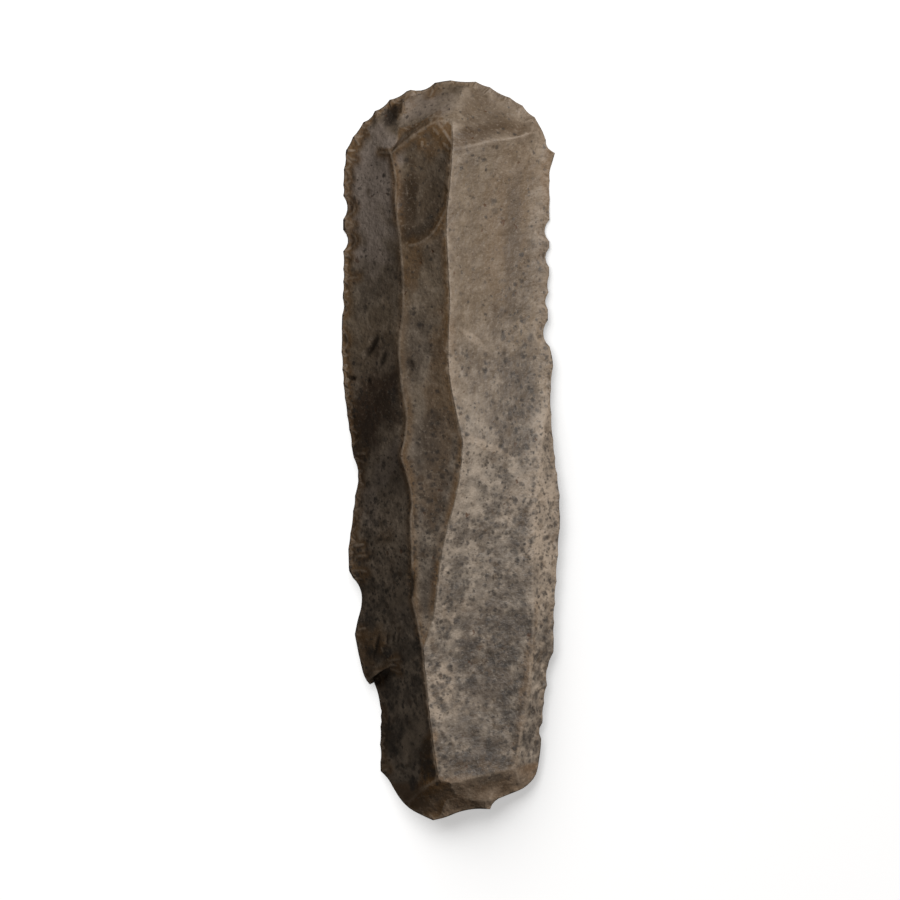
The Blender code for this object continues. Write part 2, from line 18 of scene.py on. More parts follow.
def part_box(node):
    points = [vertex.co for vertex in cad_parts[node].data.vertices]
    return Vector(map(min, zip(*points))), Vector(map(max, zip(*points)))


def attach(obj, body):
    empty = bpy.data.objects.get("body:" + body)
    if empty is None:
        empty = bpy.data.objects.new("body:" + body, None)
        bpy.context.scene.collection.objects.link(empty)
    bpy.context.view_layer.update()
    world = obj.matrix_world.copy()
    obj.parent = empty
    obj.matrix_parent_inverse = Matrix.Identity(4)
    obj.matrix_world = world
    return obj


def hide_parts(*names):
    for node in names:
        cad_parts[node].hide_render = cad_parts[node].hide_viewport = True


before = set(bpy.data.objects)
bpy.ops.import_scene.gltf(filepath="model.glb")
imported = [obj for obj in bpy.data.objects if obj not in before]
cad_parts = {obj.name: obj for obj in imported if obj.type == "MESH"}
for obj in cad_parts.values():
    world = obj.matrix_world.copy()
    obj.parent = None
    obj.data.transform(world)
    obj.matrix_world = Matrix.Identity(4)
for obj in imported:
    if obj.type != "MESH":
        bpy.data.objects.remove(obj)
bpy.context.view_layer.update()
MM = 0.001
blade_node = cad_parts["flint_blade"]
flint_material = bpy.data.materials.new("flint")
low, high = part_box("flint_blade")
print("solid:", [round((b - a) / MM, 1) for a, b in zip(low, high)], "mm")

# %% [markdown]
# ## The stone's mesh
#
# The solid is faceted. Subdividing a copy of it would round everything off, the ridges too,
# so the edges that are sharp on the stone get a crease first. A crease can be partial, and a
# flake ridge that has been handled for thousands of years is a little soft, so only the
# sharpest edges are held fully. Pairs of triangles that lie almost flat become quads, because
# quads subdivide more smoothly.


# %% Copy the solid and crease its ridges
SOFTEST_RIDGE = math.radians(4)
SHARPEST_RIDGE = math.radians(15)
FLAT_ENOUGH = math.radians(4)


def creased_copy(node, name):
    """A merged copy of the solid, with its sharp edges creased."""
    mesh = bpy.data.meshes.new(name)
    shape = bmesh.new()
    shape.from_mesh(node.data)
    bmesh.ops.remove_doubles(shape, verts=shape.verts, dist=1e-6)
    bmesh.ops.join_triangles(
        shape,
        faces=shape.faces,
        angle_face_threshold=FLAT_ENOUGH,
        angle_shape_threshold=math.radians(50),
    )
    crease = shape.edges.layers.float.new("crease_edge")
    for edge in shape.edges:
        angle = edge.calc_face_angle(0)
        share = (angle - SOFTEST_RIDGE) / (SHARPEST_RIDGE - SOFTEST_RIDGE)
        edge[crease] = min(max(share, 0), 1)
    shape.to_mesh(mesh)
    shape.free()
    return mesh


stone = bpy.data.objects.new("knapped_stone", creased_copy(blade_node, "knapped_stone"))
bpy.context.scene.collection.objects.link(stone)
print("creased copy:", len(stone.data.polygons), "faces")

# %% [markdown]
# ## Where the ridges and the edge are
#
# Colour and chipping on flint follow its shape: stain gathers beside a ridge, and the thin
# edge is chipped. So each point of the mesh is given its distance to the nearest ridge and to
# the edge. A k-d tree answers that quickly for many thousand points.


# %% Find the ridge lines and the edge line
LEAST_RIDGE = math.radians(9)
LEAST_SLOPE = 0.02


def points_along(edges, step=0.2 * MM):
    """Points along edges, no further apart than the step."""
    points = []
    for a, b in edges:
        count = max(1, math.ceil((b - a).length / step))
        points += [a.lerp(b, i / count) for i in range(count)]
    return points


def tree_of(points):
    tree = KDTree(len(points))
    for number, point in enumerate(points):
        tree.insert(point, number)
    tree.balance()
    return tree


def ridge_and_edge_lines(mesh):
    """The stone's raised ridges, and the edge where its back meets its underside."""
    ridges, rim = [], []
    shape = bmesh.new()
    shape.from_mesh(mesh)
    for edge in shape.edges:
        ends = [v.co.copy() for v in edge.verts]
        up = [face.normal.z for face in edge.link_faces]
        if max(up) > LEAST_SLOPE and min(up) < -LEAST_SLOPE:
            rim.append(ends)
        elif min(up) > LEAST_SLOPE and edge.calc_face_angle_signed(0) > LEAST_RIDGE:
            ridges.append(ends)
    shape.free()
    return ridges, rim


ridges, rim = ridge_and_edge_lines(stone.data)
ridge_tree, rim_tree = tree_of(points_along(ridges)), tree_of(points_along(rim))
for name, lines in (("ridges", ridges), ("edge", rim)):
    print(name, round(sum((b - a).length for a, b in lines) / MM), "mm")


# %% Subdivide, and measure each point's distance
def finished_mesh(obj, name):
    """The object's mesh as its modifiers leave it, and the modifiers gone."""
    graph = bpy.context.evaluated_depsgraph_get()
    mesh = bpy.data.meshes.new_from_object(obj.evaluated_get(graph), depsgraph=graph)
    mesh.name = name
    obj.modifiers.clear()
    obj.data = mesh
    return mesh


def store(mesh, name, values):
    """Keeps one number for each vertex under a name that nodes can read."""
    if name in mesh.attributes:
        mesh.attributes.remove(mesh.attributes[name])
    mesh.attributes.new(name, "FLOAT", "POINT").data.foreach_set("value", np.asarray(values, np.float32))


def places(mesh):
    flat = np.empty(len(mesh.vertices) * 3)
    mesh.vertices.foreach_get("co", flat)
    return flat.reshape(-1, 3)


def directions(mesh):
    flat = np.empty(len(mesh.vertices) * 3)
    mesh.vertex_normals.foreach_get("vector", flat)
    return flat.reshape(-1, 3)


smooth = stone.modifiers.new("smooth between the ridges", "SUBSURF")
smooth.levels = smooth.render_levels = 2
fine = finished_mesh(stone, "knapped_stone")
store(fine, "from_ridge", [ridge_tree.find(v.co)[2] / MM for v in fine.vertices])
store(fine, "from_rim", [rim_tree.find(v.co)[2] / MM for v in fine.vertices])
print("fine mesh:", sum(len(p.vertices) - 2 for p in fine.polygons), "triangles")

# %% [markdown]
# ## Forms that wear has softened
#
# At the front, three forms are softer on the real stone than a crease allows: the front ridge,
# the fold beside the front left scar, and the hollow before the strip. There each point moves
# towards the mean of its neighbours. Averaging over neighbours again and again widens the
# circle that is averaged, so the number of rounds sets how soft the form becomes.


# %% Soften the forms at the front
SOFTENED = {
    "front ridge": ((1.3, 50.0), 8.4, 5.5, 74, 0.9),
    "fold by the front left scar": ((-9.9, 46.2), 8.0, 4.2, 115, 0.9),
    "hollow before the strip": ((-4.5, 47.5), 7.4, 2.3, 27, 0.9),
}
SOFT_ROUNDS = 60


def ellipse(points, middle, length, width, turn):
    """1 in the middle of an ellipse and 0 outside it, for each point."""
    x, y = (points[:, :2] / MM - middle).T
    turn = math.radians(turn)
    along, across = x * math.cos(turn) + y * math.sin(turn), y * math.cos(turn) - x * math.sin(turn)
    return np.clip(1 - (along / length * 2) ** 2 - (across / width * 2) ** 2, 0, 1)


def averaged(mesh, values, rounds):
    """Values for each vertex, averaged with those of its neighbours as many times as asked."""
    flat = np.empty(len(mesh.edges) * 2, int)
    mesh.edges.foreach_get("vertices", flat)
    a, b = flat.reshape(-1, 2).T
    count = len(mesh.vertices)
    links = np.bincount(a, minlength=count) + np.bincount(b, minlength=count)
    mean = np.array(values, float).reshape(count, -1)
    for _ in range(rounds):
        total = [np.bincount(a, column[b], count) + np.bincount(b, column[a], count) for column in mean.T]
        mean = (mean + np.column_stack(total) / links[:, None]) / 2
    return mean


points, normals = places(fine), directions(fine)
from_rim = np.array([rim_tree.find(v.co)[2] for v in fine.vertices]) / MM
upper = (normals[:, 2] > 0.05) * np.clip((from_rim - 0.3) / 1.2, 0, 1)
soft = np.zeros(len(points))
for *where, strength in SOFTENED.values():
    soft = np.maximum(soft, ellipse(points, *where) ** 0.5 * upper * strength)
points += (averaged(fine, points, SOFT_ROUNDS) - points) * soft[:, None]
fine.vertices.foreach_set("co", points.ravel())
fine.update()
store(fine, "softened", soft)
print("softened:", int((soft > 0).sum()), "points")

# %% [markdown]
# ## Writing node maths as expressions
#
# The relief and the material are both node trees. A tree is easier to read as arithmetic
# than as a list of Math nodes, so one small class wraps a socket and turns each operator
# into the node that it stands for. Any other node comes from one method.


# %% A socket that does arithmetic
class Value:
    """A number that varies over the stone: the output of a node."""

    def __init__(self, sheet, socket):
        self.sheet, self.socket = sheet, socket

    def maths(self, operation, *others):
        node = self.sheet.add("ShaderNodeMath", {"operation": operation}, dict(enumerate((self, *others))))
        return node[0]

    def __add__(self, other):
        return self.maths("ADD", other)

    def __sub__(self, other):
        return self.maths("SUBTRACT", other)

    def __mul__(self, other):
        return self.maths("MULTIPLY", other)

    def __truediv__(self, other):
        return self.maths("DIVIDE", other)

    def __pow__(self, other):
        return self.maths("POWER", other)

    def __rsub__(self, other):
        return (self * -1) + other

    def __rtruediv__(self, other):
        return (self**-1) * other

    __radd__ = __add__
    __rmul__ = __mul__

    def clamped(self):
        return self.maths("MAXIMUM", 0.0).maths("MINIMUM", 1.0)

    def between(self, start, end):
        """0 at start and 1 at end, easing in and out. End may be the smaller one."""
        low, high = min(start, end), max(start, end)
        t = self.sheet.add(
            "ShaderNodeMapRange",
            {"interpolation_type": "SMOOTHSTEP"},
            {"Value": self, "From Min": low, "From Max": high},
        )["Result"]
        return t if start < end else 1 - t


class Sheet:
    """A node tree that is written as expressions."""

    def __init__(self, tree):
        self.tree = tree

    def add(self, kind, settings=None, sockets=None):
        """Adds a node: its settings first, then the values or links of its sockets."""
        node = self.tree.nodes.new(kind)
        for name, value in (settings or {}).items():
            setattr(node, name, value)
        for name, value in (sockets or {}).items():
            if isinstance(value, Value):
                self.tree.links.new(value.socket, node.inputs[name])
            else:
                node.inputs[name].default_value = value
        return Outputs(self, node)


class Outputs:
    """The outputs of one node, by name or number."""

    def __init__(self, sheet, node):
        self.sheet, self.node = sheet, node

    def __getitem__(self, name):
        return Value(self.sheet, self.node.outputs[name])


# %% [markdown]
# ## Ripples, grain and a chipped edge
#
# When flint breaks, the shock runs through it like a wave in water and leaves faint rings
# round the point of the blow. Use and burial then take tiny scale-like chips off the thin
# edge. Both follow a rule, so Geometry Nodes make them: rings by distance from the blow,
# and chips as a bowl in each cell of a Voronoi pattern, where the edge is near. The sizes
# are the tree's named inputs.


# %% Relief by rule
RELIEF = {
    "Ripple Height": 0.035,
    "Ripple Spacing": 5.2,
    "Grain Height": 0.10,
    "Chip Depth": 0.16,
    "Chip Size": 1.3,
    "Chip Reach": 2.0,
}
BLOW = (-0.3, -52.5, 2.0)


def relief_tree():
    """Moves the surface along its normal by ripples, grain and edge chips."""
    tree = bpy.data.node_groups.new("flint relief", "GeometryNodeTree")
    tree.interface.new_socket("Geometry", in_out="INPUT", socket_type="NodeSocketGeometry")
    for name in RELIEF:
        tree.interface.new_socket(name, in_out="INPUT", socket_type="NodeSocketFloat")
    tree.interface.new_socket("Geometry", in_out="OUTPUT", socket_type="NodeSocketGeometry")
    sheet = Sheet(tree)
    given = sheet.add("NodeGroupInput")
    place = sheet.add("GeometryNodeInputPosition")["Position"]
    normal = sheet.add("GeometryNodeInputNormal")["Normal"]
    kept = sheet.add("GeometryNodeInputNamedAttribute", {"data_type": "FLOAT"}, {"Name": "from_rim"})
    from_rim = kept["Attribute"]
    in_mm = sheet.add("ShaderNodeVectorMath", {"operation": "SCALE"}, {0: place, "Scale": 1 / MM})["Vector"]

    def noise(scale, detail):
        found = sheet.add("ShaderNodeTexNoise", {}, {"Vector": in_mm, "Scale": scale, "Detail": detail})
        return found["Fac"] - 0.5

    away = sheet.add("ShaderNodeVectorMath", {"operation": "DISTANCE"}, {0: in_mm, 1: BLOW})["Value"]
    waves = ((away / given["Ripple Spacing"] + noise(0.09, 1) * 1.6) * math.tau).maths("SINE")
    strength = noise(0.05, 0) * 1.8 + 0.5
    ripples = waves * strength * given["Ripple Height"]
    grain = (noise(0.55, 2) * 1.5 + noise(1.7, 2) * 0.45) * given["Grain Height"]

    cells = sheet.add(
        "ShaderNodeTexVoronoi",
        {"feature": "SMOOTH_F1"},
        {"Vector": in_mm, "Scale": 1 / given["Chip Size"], "Smoothness": 0.12, "Randomness": 0.9},
    )["Distance"]
    bowl = cells.between(0.75, 0.1)
    reach = from_rim / given["Chip Reach"]
    near_rim = reach.between(1.0, 0.25) * reach.between(0.0, 0.3)
    chips = bowl * near_rim * (noise(0.16, 1) * 5 + 0.6).maths("MAXIMUM", 0.0) * given["Chip Depth"]

    height = sheet.add("ShaderNodeSeparateXYZ", {}, {0: in_mm})["Z"]
    held = from_rim.between(0.0, 0.8) * height.between(0.0, 0.5)
    depth = (ripples + grain - chips) * (held * MM)
    shift = sheet.add("ShaderNodeVectorMath", {"operation": "SCALE"}, {0: normal, "Scale": depth})["Vector"]
    moved = sheet.add("GeometryNodeSetPosition", {}, {"Geometry": given["Geometry"], "Offset": shift})
    real = sheet.add("GeometryNodeRealizeInstances", {}, {"Geometry": moved["Geometry"]})
    sockets = {"Geometry": real["Geometry"], "Material": flint_material}
    painted = sheet.add("GeometryNodeSetMaterial", {}, sockets)
    sheet.add("NodeGroupOutput", {}, {"Geometry": painted["Geometry"]})
    return tree


relief = stone.modifiers.new("relief", "NODES")
relief.node_group = relief_tree()
for socket in relief.node_group.interface.items_tree:
    if socket.in_out == "INPUT" and socket.name in RELIEF:
        relief[socket.identifier] = RELIEF[socket.name]
fine = finished_mesh(stone, "knapped_stone")
print("relief added to", len(fine.vertices), "points")

# %% [markdown]
# ## Single scars
#
# A few marks on the real stone are one of a kind: a slanted gouge and small lens-shaped
# chips on the left face, and pits where a grain fell out. Each is an ellipse sunk into the
# back, given by its middle, length, width, turn and depth. The gouges are large enough to be
# real dents in the mesh, and the smallest pits are left to the material. Three low swells
# are raised in the same way.

# %% Sink the single scars
# Middle, length and width in millimetres, turn in degrees, and depth in millimetres
SCARS = {
    "slanted gouge": ((-11.2, 14.6), 3.9, 1.15, 60, 0.42),
    "lens by the gouge": ((-9.6, 12.8), 2.9, 0.8, 70, 0.20),
    "brown chip": ((-5.7, 12.0), 1.9, 1.3, 100, 0.20),
    "edge pit": ((-13.9, 10.0), 1.2, 0.7, 0, 0.24),
    "left pit": ((-11.6, 9.7), 0.9, 0.7, 70, 0.20),
    "ridge lens": ((-5.6, -19.0), 4.4, 0.9, 88, 0.26),
    "strip scratch": ((-4.1, -6.5), 2.6, 0.45, -40, 0.13),
    "notch scratch one": ((-10.5, -27.8), 4.4, 0.55, 78, 0.17),
    "notch scratch two": ((-9.0, -27.0), 2.6, 0.40, 84, 0.14),
    "notch scratch three": ((-8.1, -26.8), 2.0, 0.40, 84, 0.12),
    "notch scratch four": ((-7.4, -26.8), 2.4, 0.40, 80, 0.13),
    "under the tab": ((-10.0, -32.3), 4.0, 1.3, 40, 0.90),
    "hollow by the front": ((-8.8, 47.3), 3.8, 2.2, 60, 0.30),
}
# And forms that stand up: the same numbers, with a height in place of the depth
SWELLS = {
    "low ridge on the left face": ((-10.2, 2.8), 18.0, 5.0, 65, 0.34),
    "brow over the left foot": ((-6.0, -41.0), 20.0, 3.6, 85, 0.16),
    "swell on the right face": ((6.5, 6.0), 16.0, 7.0, 70, 0.18),
}


points, normals = places(fine), directions(fine)
scarred = np.zeros(len(points))
for middle, length, width, turn, depth in SCARS.values():
    share = ellipse(points, middle, length, width, turn) * (normals[:, 2] > 0.1)
    points -= normals * (share * depth * MM)[:, None]
    scarred = np.maximum(scarred, share**0.5)
for middle, length, width, turn, height in SWELLS.values():
    share = ellipse(points, middle, length, width, turn) * (normals[:, 2] > 0.1)
    points += normals * (share * height * MM)[:, None]
fine.vertices.foreach_set("co", points.ravel())
fine.update()
store(fine, "scarred", scarred)
print("single scars:", len(SCARS), "over", int((scarred > 0).sum()), "points")

# %% [markdown]
# ## Worn crests and shaded hollows
#
# Handling and burial wear the crests pale, and shade is painted into the hollows. A point
# stands on a crest if it is higher than the mean of the points round it, measured along its
# normal, and lies in a hollow if it is lower.


# %% Measure crests and hollows
def height_over_neighbours(mesh, rounds):
    """How far each point stands out from the mean of those round it, in millimetres."""
    heights = ((places(mesh) - averaged(mesh, places(mesh), rounds)) * directions(mesh)).sum(axis=1) / MM
    return averaged(mesh, heights, 2)[:, 0]


CREST_ROUNDS = 10
crest = height_over_neighbours(fine, CREST_ROUNDS)
store(fine, "crest", crest)
store(fine, "leans", directions(fine)[:, 0])
print("crests to", round(float(np.percentile(crest, 99)), 3), "mm")

# %% [markdown]
# ## The flint
#
# This flint is a warm grey, mottled and full of blurry dark specks, thickest on the lower
# half and the right. Ochre has stained it beside the ridges and at both ends, the crests are
# worn to a pale line, and rusty dots sit in the pits. Shade is painted in too: in the hollows,
# the scars and several patches, and with the ochre on the shaded side of the ridges, while
# cream on their lit side is a painted highlight. Each of these is a mask from 0 to 1 that
# mixes one colour over what is below it, so each can be tuned alone. The patterns read
# Object coordinates, in millimetres, so that their sizes can be judged against the stone.

# %% The flint's colours
WARM_GREY = (0.236, 0.177, 0.121, 1)
COOL_GREY = (0.263, 0.2150, 0.1690, 1)
LIGHT_CLOUD = (0.422, 0.343, 0.267, 1)
DARK_CLOUD = (0.092, 0.069, 0.051, 1)
SPECK = (0.044, 0.036, 0.030, 1)
OCHRE = (0.165, 0.088, 0.032, 1)
BROWN = (0.082, 0.050, 0.026, 1)
BUTT_BROWN = (0.180, 0.112, 0.064, 1)
CREAM = (0.410, 0.322, 0.242, 1)
MAUVE = (0.450, 0.370, 0.318, 1)
RED_BROWN = (0.060, 0.031, 0.017, 1)
RUST = (0.085, 0.032, 0.010, 1)
# Painted shade: the dark laid in hollows, in scars and on faces turned away from the lamp
PAINTED_SHADE = (0.024, 0.015, 0.009, 1)
SHADOWED = (0.007, 0.004, 0.002, 1)

# Patches that lie in one place: x, y, length, width in millimetres, turn in degrees, then colour
# and strength. They were set by comparing renders with the photograph, light included.
PATCHES = {
    "pale front left": (-11.0, 36.5, 26, 10, 88, MAUVE, 0.85),
    "brown front of the strip": (-2.8, 35.0, 24, 10, 88, BROWN, 0.50),
    # The next three are painted shade inside the strip scar, and the fourth is a painted highlight on its
    # lip
    "dark side of the strip scar": (-5.9, 35.0, 15, 3.0, 88, BROWN, 0.85),
    "painted shade beside the left ridge": (-6.1, 34.6, 15, 3.4, 88, PAINTED_SHADE, 0.40),
    "dark end of the strip scar": (-4.4, 30.6, 7.0, 2.6, 20, PAINTED_SHADE, 0.55),
    "pale lip of the strip scar": (-4.4, 28.7, 6.5, 1.1, 14, CREAM, 0.45),
    "ochre under the strip scar": (-5.3, 26.2, 9.0, 3.2, 88, OCHRE, 0.60),
    "ochre front of the strip": (-2.2, 42.8, 5.5, 3.0, 70, OCHRE, 0.60),
    "under the front ridge": (5.6, 44.3, 17, 4.0, 9, BROWN, 0.62),
    "corner under the front ridge": (1.7, 43.7, 5.4, 4.2, 20, BROWN, 1.0),
    "brown right of the front ridge": (3.4, 48.3, 7.0, 4.4, 78, BROWN, 0.46),
    "brown right shoulder": (9.5, 45.6, 13, 6.0, -36, BROWN, 0.40),
    # Painted shade on the steep step before the strip
    "hollow before the strip": (-4.6, 43.7, 9.5, 2.4, 32, PAINTED_SHADE, 0.40),
    "pale front": (-4.2, 48.6, 11, 5.5, 8, MAUVE, 0.45),
    # Painted shade in the front left hollow
    "front left hollow": (-8.3, 47.4, 5.0, 2.6, 62, PAINTED_SHADE, 0.28),
    "rusty front left rim": (-11.6, 47.6, 7.0, 1.6, 42, RED_BROWN, 0.50),
    "warm right face": (6.5, 26.0, 56, 18, 90, BROWN, 0.38),
    "ochre right rim": (14.0, 38.8, 12, 2.6, 88, OCHRE, 0.60),
    "warm right top": (8.5, 34.0, 30, 9.0, 82, OCHRE, 0.22),
    "grey smear on the right": (8.8, 30.0, 24, 3.0, 88, DARK_CLOUD, 0.50),
    "dark right middle": (9.2, 5.8, 18, 8.0, 78, DARK_CLOUD, 0.58),
    "dark line in the middle": (7.6, 9.6, 12, 2.4, 86, DARK_CLOUD, 0.50),
    "pale fold in the middle": (5.0, 0.6, 8.0, 1.3, -22, CREAM, 0.55),
    "pale fold above it": (3.2, 15.6, 6.5, 1.2, -38, CREAM, 0.45),
    "pale margin": (13.0, -11.6, 36, 5.2, 91, CREAM, 0.90),
    "brown along the margin": (10.6, -33.0, 30, 1.8, 82, OCHRE, 0.62),
    "dark right foot": (5.6, -35.0, 32, 15, 88, DARK_CLOUD, 0.38),
    "blotch by the margin": (10.1, -18.5, 7.5, 4.6, 60, DARK_CLOUD, 0.60),
    "blotch on the right": (6.1, -22.5, 7.0, 4.4, 60, DARK_CLOUD, 0.52),
    "blotch on the right foot": (7.0, -32.3, 8.0, 5.4, 30, DARK_CLOUD, 0.72),
    "blotch at the foot": (2.4, -44.6, 11, 5.0, 5, DARK_CLOUD, 0.80),
    "blotch beside it": (6.0, -43.2, 8.0, 5.0, 70, DARK_CLOUD, 0.66),
    "brown above the butt": (4.8, -45.0, 15, 4.0, 8, BROWN, 0.78),
    "light between blotches": (0.6, -22.6, 7.5, 4.6, 60, CREAM, 0.68),
    "light right middle": (9.4, -6.8, 11, 4.4, 60, CREAM, 0.45),
    "light right foot": (-1.5, -34.0, 13, 4.6, 84, CREAM, 0.80),
    "light by the butt": (2.0, -36.6, 6.0, 4.0, 30, CREAM, 0.45),
    "light foot of the margin": (13.0, -29.4, 7.0, 3.0, 88, CREAM, 0.55),
    "dark strip": (-3.2, 8.0, 60, 8.5, 88, DARK_CLOUD, 0.26),
    "ochre lower strip": (-1.8, 3.0, 40, 5.4, 86, OCHRE, 0.48),
    "blotch on the strip": (-3.6, 0.6, 11, 4.6, 80, DARK_CLOUD, 0.68),
    "blotch by the ridge": (-0.2, -5.9, 8.0, 3.4, 78, DARK_CLOUD, 0.70),
    "blotch on the strip's tip": (-3.0, -19.4, 9.0, 3.6, 80, DARK_CLOUD, 0.75),
    "upper blotch on the strip": (-5.0, 11.8, 6.0, 3.0, 80, DARK_CLOUD, 0.50),
    "dark lower strip": (-2.4, -3.0, 26, 8.0, 84, DARK_CLOUD, 0.36),
    # Painted shade where the left face curves away from the lamp
    "dark left middle": (-11.4, 4.0, 18, 6.0, 68, PAINTED_SHADE, 0.62),
    "warm left face": (-10.0, -10.0, 80, 12, 90, OCHRE, 0.16),
    "brown left middle": (-11.0, 6.0, 24, 8.0, 72, RED_BROWN, 0.66),
    # Painted shade in the next two: beside the left ridge and inside the left flute
    "dark beside the ridge": (-7.8, 6.4, 9.0, 3.2, 80, PAINTED_SHADE, 0.62),
    "left flute": (-8.0, -7.0, 12, 3.0, 84, PAINTED_SHADE, 0.30),
    "brown tab": (-11.2, -28.4, 9.0, 5.0, 62, OCHRE, 0.70),
    "light beside the notch": (-5.8, -32.6, 13, 5.0, 84, LIGHT_CLOUD, 1.0),
    "light left foot": (-4.6, -40.6, 12, 4.4, 82, CREAM, 0.62),
    "light left low": (-8.0, -14.0, 22, 7.0, 84, CREAM, 0.50),
    "light strip tip": (-5.4, -14.0, 9.0, 2.6, 84, CREAM, 0.36),
    "edge of the flute": (-9.2, -2.4, 11, 3.4, 62, MAUVE, 0.34),
    "pale left edge low": (-11.8, -8.0, 9.0, 3.6, 100, MAUVE, 0.26),
    "pale left middle": (-9.2, 12.6, 6.0, 3.6, 60, CREAM, 0.40),
    "shadowed notch": (-10.0, -32.5, 5.6, 2.6, 40, SHADOWED, 1.0),
    "ochre over the butt ridge": (-3.1, -44.6, 12, 3.4, 84, OCHRE, 0.95),
    "ochre under the butt peak": (-1.9, -47.4, 5.0, 2.6, 30, OCHRE, 0.75),
    "dark left butt": (-4.2, -50.0, 8.0, 4.0, -20, BROWN, 0.22),
    # Brown stain deepened as painted shade on the right butt facet, which faces away from the lamp
    "brown right butt": (4.2, -47.7, 14, 5.4, 12, BROWN, 0.75),
}


# %% Patterns in the stone
class Stone(Sheet):
    """The flint's material, with the patterns that its layers share."""

    def __init__(self, material):
        material.use_nodes = True
        super().__init__(material.node_tree)
        self.shader = self.tree.nodes["Principled BSDF"]
        place = self.add("ShaderNodeTexCoord")["Object"]
        self.in_mm = self.add("ShaderNodeMapping", {}, {"Vector": place, "Scale": (1 / MM,) * 3})["Vector"]
        split = self.add("ShaderNodeSeparateXYZ", {}, {0: self.in_mm})
        self.x, self.y = split["X"], split["Y"]

    def stretched(self, shift, scale=(1, 1, 1)):
        """The place in millimetres, moved so that a pattern differs from the next one."""
        sockets = {"Vector": self.in_mm, "Location": shift, "Scale": scale}
        return self.add("ShaderNodeMapping", {}, sockets)["Vector"]

    def noise(self, scale, detail=2, vector=None, roughness=0.5):
        sockets = {"Vector": vector or self.in_mm, "Scale": scale, "Detail": detail, "Roughness": roughness}
        return self.add("ShaderNodeTexNoise", {}, sockets)["Fac"]

    def kept(self, name):
        return self.add("ShaderNodeAttribute", {"attribute_name": name})["Fac"]

    def spots(self, size, share, radius, blur, shift=0.0):
        """Blurred, uneven spots, one for each cell of that size, in that share of the cells."""
        vector = self.stretched(shift=(shift, shift * 0.7, 0))
        noise = {"Vector": vector, "Scale": 2.2 / size, "Detail": 2}
        wobble = {0: self.add("ShaderNodeTexNoise", {}, noise)["Color"], "Scale": size * 0.65}
        bend = self.add("ShaderNodeVectorMath", {"operation": "SCALE"}, wobble)["Vector"]
        bent = self.add("ShaderNodeVectorMath", {"operation": "ADD"}, {0: vector, 1: bend})["Vector"]
        cell = self.add("ShaderNodeTexVoronoi", {}, {"Vector": bent, "Scale": 1 / size})
        chance = self.add("ShaderNodeSeparateColor", {}, {0: cell["Color"]})
        there = (share - chance[0]).between(-0.08, 0.08)
        reach = cell["Distance"] / (chance[2] * 0.6 + 0.6)
        return reach.between(radius + blur, max(radius - blur, 0)) * there * (chance[1] * 0.5 + 0.5)

    def layer(self, below, colour, mask):
        """One colour laid over what is below, as far as the mask says."""
        node = self.tree.nodes.new("ShaderNodeMix")
        node.data_type = "RGBA"
        for socket, value in ((node.inputs[0], mask), (node.inputs[6], below), (node.inputs[7], colour)):
            if isinstance(value, Value):
                self.tree.links.new(value.socket, socket)
            else:
                socket.default_value = value
        return Value(self, node.outputs[2])

    def patch(self, x, y, length, width, turn):
        """A soft ellipse with an uneven outline on the back, 1 in its middle."""
        turn = math.radians(turn)
        dx, dy = self.x - x, self.y - y
        along = (dx * math.cos(turn) + dy * math.sin(turn)) * (2 / length)
        across = (dy * math.cos(turn) - dx * math.sin(turn)) * (2 / width)
        return (along * along + across * across + (self.patchy - 0.5) * 2.0).between(1.1, 0.1)


# %% [markdown]
# Where a layer shows matters as much as its colour. The specks thicken towards the butt, so
# their share grows along the blade. The ochre follows the ridges, but in patches, so the
# distance to the ridge is multiplied by slow noise.


# %% Mix the flint
def body_colour(s):
    """Warm grey, cooler towards the butt, under light and dark clouds, and the brown butt."""
    clouds, drift = s.noise(0.11, 4), s.noise(0.22, 5, s.stretched(shift=(3, 3, 8), scale=(1.3, 0.8, 1)))
    mottling = s.noise(0.55, 4, s.stretched(shift=(9, 2, 4)), roughness=0.5)
    strength = (s.toward_butt * 0.45 + 0.30) * (1 - s.bare * 0.7)
    colour = s.layer(WARM_GREY, COOL_GREY, (clouds * 0.8 + s.toward_butt * 0.7).between(0.35, 0.95))
    colour = s.layer(colour, LIGHT_CLOUD, drift.between(0.49, 0.33) * (s.toward_butt * 0.35 + 0.40))
    colour = s.layer(colour, DARK_CLOUD, clouds.between(0.51, 0.66) * 0.45)
    colour = s.layer(colour, LIGHT_CLOUD, mottling.between(0.50, 0.66) * strength)
    colour = s.layer(colour, DARK_CLOUD, mottling.between(0.50, 0.35) * strength * 0.8)
    return s.layer(colour, BUTT_BROWN, s.butt * (s.patchy + 0.40).clamped() * 0.95)


def patched(s, colour):
    """The light, dark and brown patches that lie in one place each."""
    for *where, tint, strength in PATCHES.values():
        colour = s.layer(colour, tint, s.patch(*where) * strength)
    return colour


def stains_shade_and_highlight(s, colour):
    """Ochre on each ridge's dark side, stain and painted shade both, ochre on the rim, cream as a painted
    highlight on the light side, and a brown front.
    """
    from_ridge = s.kept("from_ridge") + s.kept("softened") * 3
    from_rim, leans = s.kept("from_rim"), s.kept("leans")
    patches = (s.noise(0.07, 2, s.stretched(shift=(31, 7, 5))) + s.patchy * 0.35).between(0.52, 0.78)
    left_side, right_side = leans.between(0.02, -0.20), leans.between(0.05, 0.30)
    colour = s.layer(colour, BROWN, s.y.between(41.0, 50.0) * (s.patchy + 0.30) * 0.36)
    # Painted highlight: cream on the side of a ridge that leans towards the lamp
    beside = from_ridge.between(2.4, 0.2) * right_side * s.x.between(-6.0, -4.0)
    colour = s.layer(colour, CREAM, beside * (s.patchy + 0.2) * 0.36)
    # Ochre stain that is painted shade as well, on the side of each ridge that leans away from the lamp
    colour = s.layer(colour, OCHRE, from_ridge.between(1.5, 0.1) * left_side * (patches * 0.7 + 0.3) * 0.90)
    return s.layer(colour, OCHRE, (from_rim.between(1.5, 0.1) * (s.patchy - 0.25) * 0.7).clamped())


